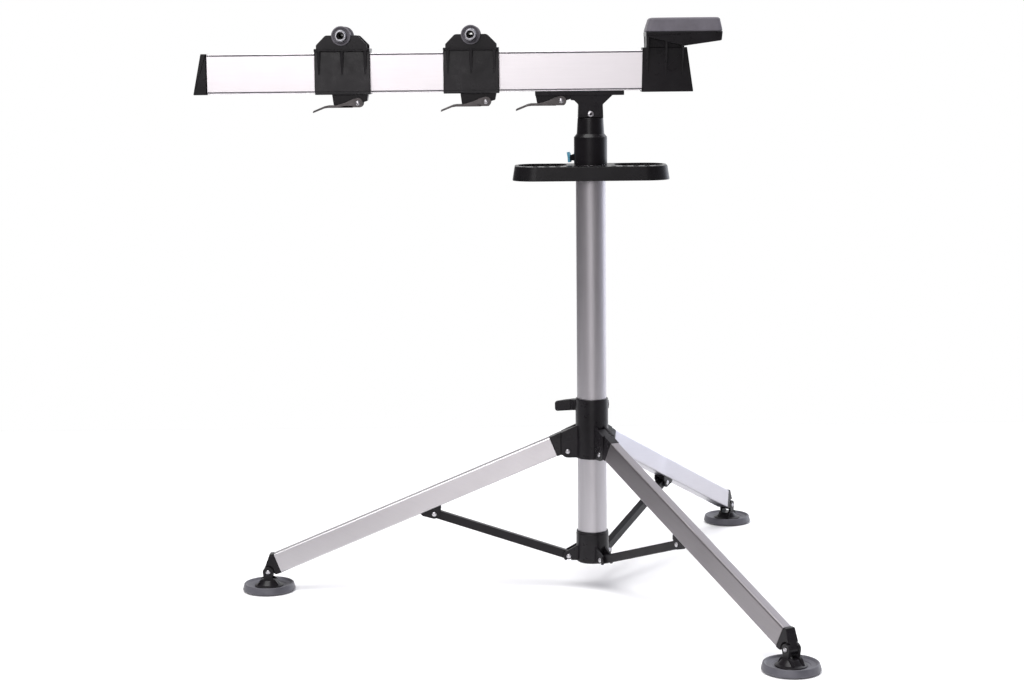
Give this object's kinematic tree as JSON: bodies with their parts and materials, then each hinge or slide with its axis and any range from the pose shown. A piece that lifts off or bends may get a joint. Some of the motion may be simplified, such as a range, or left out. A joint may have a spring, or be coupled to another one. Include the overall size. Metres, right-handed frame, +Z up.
{
  "type": "bicycle work stand",
  "caption": "Folding bicycle work stand: tripod and round column carry a turning beam with a bottom bracket rest, sliding axle saddles and a tool tray.",
  "frame": {"origin": "centre of the whole stand's bounding box on the floor plane, under the feet", "axes": "+Z up along the column; +X along the beam towards the bottom bracket rest, level; -Y towards the viewer, so the front legs' spread and the stand's width lie along Y"},
  "size_m": [0.9907, 1.065, 0.9765],
  "materials": {
    "column_aluminium": "satin, drawn and clear anodised",
    "leg_aluminium": "satin, extruded and clear anodised",
    "beam_aluminium": "bright satin, extruded and anodised",
    "moulded_black": "low-sheen moulded nylon",
    "tray_black": "low-sheen moulded",
    "black_steel": "satin black coat",
    "lever_steel": "pressed, dull bronze-grey plating",
    "rivet_steel": "zinc plated",
    "sole_rubber": "matte",
    "pad_rubber": "matte, fine texture",
    "spool_grey": "low sheen",
    "axle_chrome": "polished",
    "lock_blue": "low sheen"
  },
  "bodies": {
    "column": {"column_tube": "column_aluminium", "base_collar": "moulded_black"},
    "hub": {"leg_hub": "moulded_black", "hub_bolt": "rivet_steel", "leg_1_hub_rivet": "rivet_steel", "leg_2_hub_rivet": "rivet_steel", "leg_3_hub_rivet": "rivet_steel"},
    "hub_lever": {"hub_lever": "moulded_black"},
    "leg_1": {"leg_1_tube": "leg_aluminium", "leg_1_knuckle": "moulded_black", "leg_1_end_cap": "moulded_black", "leg_1_bracket": "black_steel", "leg_1_bracket_rivet": "rivet_steel"},
    "strut_1": {"strut_1_bar": "black_steel", "strut_1_rivet": "rivet_steel"},
    "foot_1": {"foot_1_yoke": "moulded_black", "foot_1_sole": "sole_rubber", "foot_1_rivet": "rivet_steel"},
    "leg_2": {"leg_2_tube": "leg_aluminium", "leg_2_knuckle": "moulded_black", "leg_2_end_cap": "moulded_black", "leg_2_bracket": "black_steel", "leg_2_bracket_rivet": "rivet_steel"},
    "strut_2": {"strut_2_bar": "black_steel", "strut_2_rivet": "rivet_steel"},
    "foot_2": {"foot_2_yoke": "moulded_black", "foot_2_sole": "sole_rubber", "foot_2_rivet": "rivet_steel"},
    "leg_3": {"leg_3_tube": "leg_aluminium", "leg_3_knuckle": "moulded_black", "leg_3_end_cap": "moulded_black", "leg_3_bracket": "black_steel", "leg_3_bracket_rivet": "rivet_steel"},
    "strut_3": {"strut_3_bar": "black_steel", "strut_3_rivet": "rivet_steel"},
    "foot_3": {"foot_3_yoke": "moulded_black", "foot_3_sole": "sole_rubber", "foot_3_rivet": "rivet_steel"},
    "head": {"head_sleeve": "moulded_black", "head_bracket": "moulded_black", "neck_bolt": "rivet_steel", "clamp_shoe": "black_steel", "beam_lever_rivet": "rivet_steel"},
    "beam_lever": {"beam_lever": "lever_steel"},
    "turn_lock": {"turn_lock": "lock_blue"},
    "tray": {"tool_tray": "tray_black"},
    "beam": {"beam_tube": "beam_aluminium", "beam_end_cap": "moulded_black", "bracket_rest": "moulded_black", "rest_pad": "pad_rubber"},
    "saddle_1": {"saddle_1_body": "moulded_black", "saddle_1_spool": "spool_grey", "saddle_1_axle_tube": "axle_chrome", "saddle_1_rivet": "rivet_steel"},
    "saddle_1_lever": {"saddle_1_lever": "lever_steel"},
    "saddle_2": {"saddle_2_body": "moulded_black", "saddle_2_spool": "spool_grey", "saddle_2_axle_tube": "axle_chrome", "saddle_2_rivet": "rivet_steel"},
    "saddle_2_lever": {"saddle_2_lever": "lever_steel"}
  },
  "joints": [
    {"name": "hub_slide", "type": "slide", "parent": "column", "child": "hub", "axis": [0, 0, 1], "range_m": [0, 0.3144]},
    {"name": "leg_1_fold", "type": "hinge", "parent": "hub", "child": "leg_1", "pos_m": [0.1269, 0, 0.243], "axis": [0, -1, 0], "range_deg": [0, 64.2]},
    {"name": "strut_1_fold", "type": "hinge", "parent": "leg_1", "child": "strut_1", "pos_m": [-0.1041, 0, 0.1347], "axis": [0, -1, 0], "range_deg": [-135.1, 0]},
    {"name": "foot_1_tilt", "type": "hinge", "parent": "leg_1", "child": "foot_1", "pos_m": [-0.3936, 0, 0.034], "axis": [0, -1, 0], "range_deg": [-64, 10]},
    {"name": "leg_2_fold", "type": "hinge", "parent": "hub", "child": "leg_2", "pos_m": [0.1896, -0.0362, 0.243], "axis": [0.866, 0.5, 0], "range_deg": [0, 64.2]},
    {"name": "strut_2_fold", "type": "hinge", "parent": "leg_2", "child": "strut_2", "pos_m": [0.3051, -0.23625, 0.1347], "axis": [0.866, 0.5, 0], "range_deg": [-135.1, 0]},
    {"name": "foot_2_tilt", "type": "hinge", "parent": "leg_2", "child": "foot_2", "pos_m": [0.44985, -0.48697, 0.034], "axis": [0.866, 0.5, 0], "range_deg": [-64, 10]},
    {"name": "leg_3_fold", "type": "hinge", "parent": "hub", "child": "leg_3", "pos_m": [0.1896, 0.0362, 0.243], "axis": [-0.866, 0.5, 0], "range_deg": [0, 64.2]},
    {"name": "strut_3_fold", "type": "hinge", "parent": "leg_3", "child": "strut_3", "pos_m": [0.3051, 0.23625, 0.1347], "axis": [-0.866, 0.5, 0], "range_deg": [-135.1, 0]},
    {"name": "foot_3_tilt", "type": "hinge", "parent": "leg_3", "child": "foot_3", "pos_m": [0.44985, 0.48697, 0.034], "axis": [-0.866, 0.5, 0], "range_deg": [-64, 10]},
    {"name": "hub_lever_turn", "type": "hinge", "parent": "hub", "child": "hub_lever", "pos_m": [0.1402, 0.034, 0.317], "axis": [0, 0, -1], "range_deg": [0, 90]},
    {"name": "head_turn", "type": "hinge", "parent": "column", "child": "head", "pos_m": [0.1687, 0, 0.75], "axis": [0, 0, 1], "continuous": true},
    {"name": "turn_lock_tilt", "type": "hinge", "parent": "head", "child": "turn_lock", "pos_m": [0.13949, 0.0118, 0.7445], "axis": [-0.3746, -0.9272, 0], "range_deg": [0, 18]},
    {"name": "tray_turn", "type": "hinge", "parent": "column", "child": "tray", "pos_m": [0.1687, 0, 0.72], "axis": [0, 0, 1], "continuous": true},
    {"name": "beam_slide", "type": "slide", "parent": "head", "child": "beam", "axis": [1, 0, 0], "range_m": [-0.02, 0.015]},
    {"name": "beam_lever_turn", "type": "hinge", "parent": "head", "child": "beam_lever", "pos_m": [0.1197, 0, 0.8405], "axis": [0, -1, 0], "range_deg": [0, 85]},
    {"name": "saddle_1_slide", "type": "slide", "parent": "beam", "child": "saddle_1", "axis": [1, 0, 0], "range_m": [-0.15, 0.05]},
    {"name": "saddle_1_lever_turn", "type": "hinge", "parent": "saddle_1", "child": "saddle_1_lever", "pos_m": [-0.2208, 0, 0.8405], "axis": [0, -1, 0], "range_deg": [0, 95]},
    {"name": "saddle_2_slide", "type": "slide", "parent": "beam", "child": "saddle_2", "axis": [1, 0, 0], "range_m": [-0.06, 0.02]},
    {"name": "saddle_2_lever_turn", "type": "hinge", "parent": "saddle_2", "child": "saddle_2_lever", "pos_m": [-0.0061, 0, 0.8405], "axis": [0, -1, 0], "range_deg": [0, 95]}
  ],
  "couplings": [
    {"joint": "leg_1_fold", "follows": "hub_slide", "rad_per_m": 3.5483},
    {"joint": "strut_1_fold", "follows": "hub_slide", "rad_per_m": -7.4729},
    {"joint": "leg_2_fold", "follows": "hub_slide", "rad_per_m": 3.5483},
    {"joint": "strut_2_fold", "follows": "hub_slide", "rad_per_m": -7.4729},
    {"joint": "leg_3_fold", "follows": "hub_slide", "rad_per_m": 3.5483},
    {"joint": "strut_3_fold", "follows": "hub_slide", "rad_per_m": -7.4729}
  ]
}
